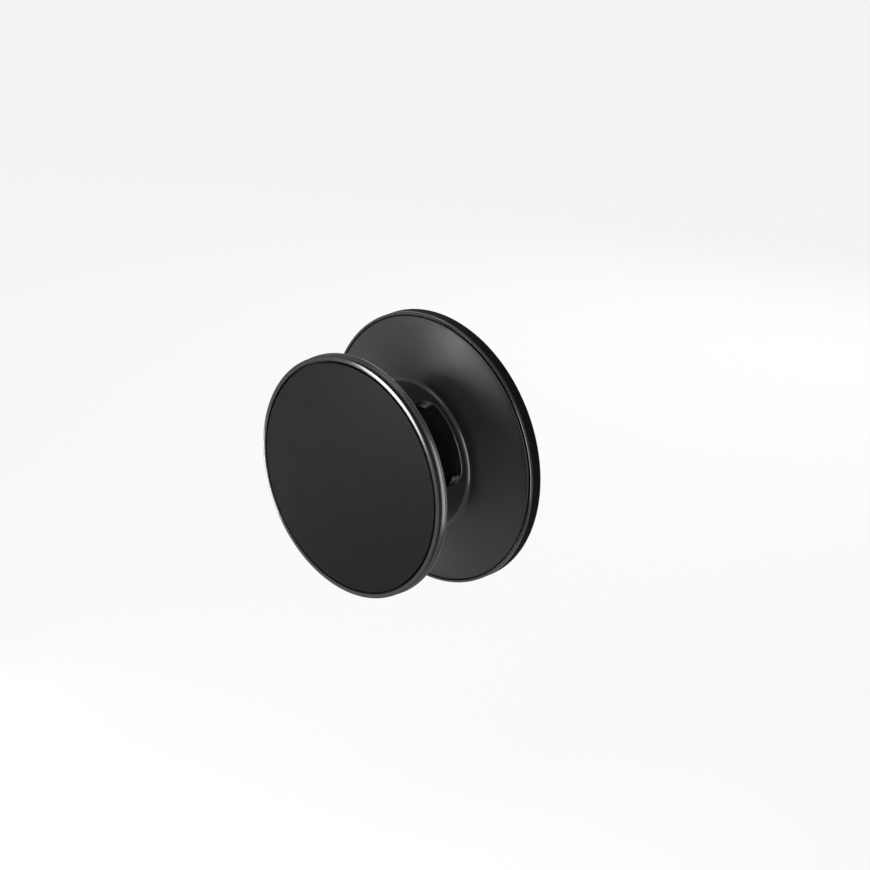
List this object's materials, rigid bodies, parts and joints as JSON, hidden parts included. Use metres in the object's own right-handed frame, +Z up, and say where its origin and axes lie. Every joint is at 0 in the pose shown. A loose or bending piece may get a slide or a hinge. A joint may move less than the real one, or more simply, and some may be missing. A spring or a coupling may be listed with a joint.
{
  "type": "magnetic phone wall mount",
  "caption": "Short black spool that sticks to a wall by a round adhesive pad and holds a phone on the magnet ring in its wider head, with rounded windows through its hollow neck.",
  "frame": {"origin": "centre of the adhesive pad's outer face, where it meets the wall", "axes": "+Y into the wall, -Y out to the phone, +Z up, +X along the wall"},
  "size_m": [0.058, 0.0263, 0.058],
  "materials": {
    "pad_foam": "matte charcoal foam tape",
    "plate_metal": "black anodised, with a bright crowned rim",
    "spool_shell": "satin black moulding",
    "cup_metal": "black anodised, with a chamfered rim",
    "boot_silicone": "matte black silicone with a fine grain",
    "screw_steel": "plain steel",
    "insert_brass": "knurled brass",
    "shield_steel": "stamped steel",
    "magnet_nickel": "nickel plated",
    "carrier_plastic": "natural moulding",
    "tape_film": "double-sided tape"
  },
  "bodies": {
    "root": {"adhesive_pad": "pad_foam", "wall_plate": "plate_metal", "plate_screws": "screw_steel", "plate_inserts": "insert_brass", "spool_body": "spool_shell", "head_inserts": "insert_brass", "head_screws": "screw_steel", "magnet_cup": "cup_metal", "shield_ring": "shield_steel", "magnet_carrier": "carrier_plastic", "face_tape": "tape_film", "grip_boot": "boot_silicone", "magnet_1": "magnet_nickel", "magnet_2": "magnet_nickel", "magnet_3": "magnet_nickel", "magnet_4": "magnet_nickel", "magnet_5": "magnet_nickel", "magnet_6": "magnet_nickel", "magnet_7": "magnet_nickel", "magnet_8": "magnet_nickel", "magnet_9": "magnet_nickel", "magnet_10": "magnet_nickel", "magnet_11": "magnet_nickel", "magnet_12": "magnet_nickel", "magnet_13": "magnet_nickel", "magnet_14": "magnet_nickel", "magnet_15": "magnet_nickel", "magnet_16": "magnet_nickel"}
  },
  "joints": []
}
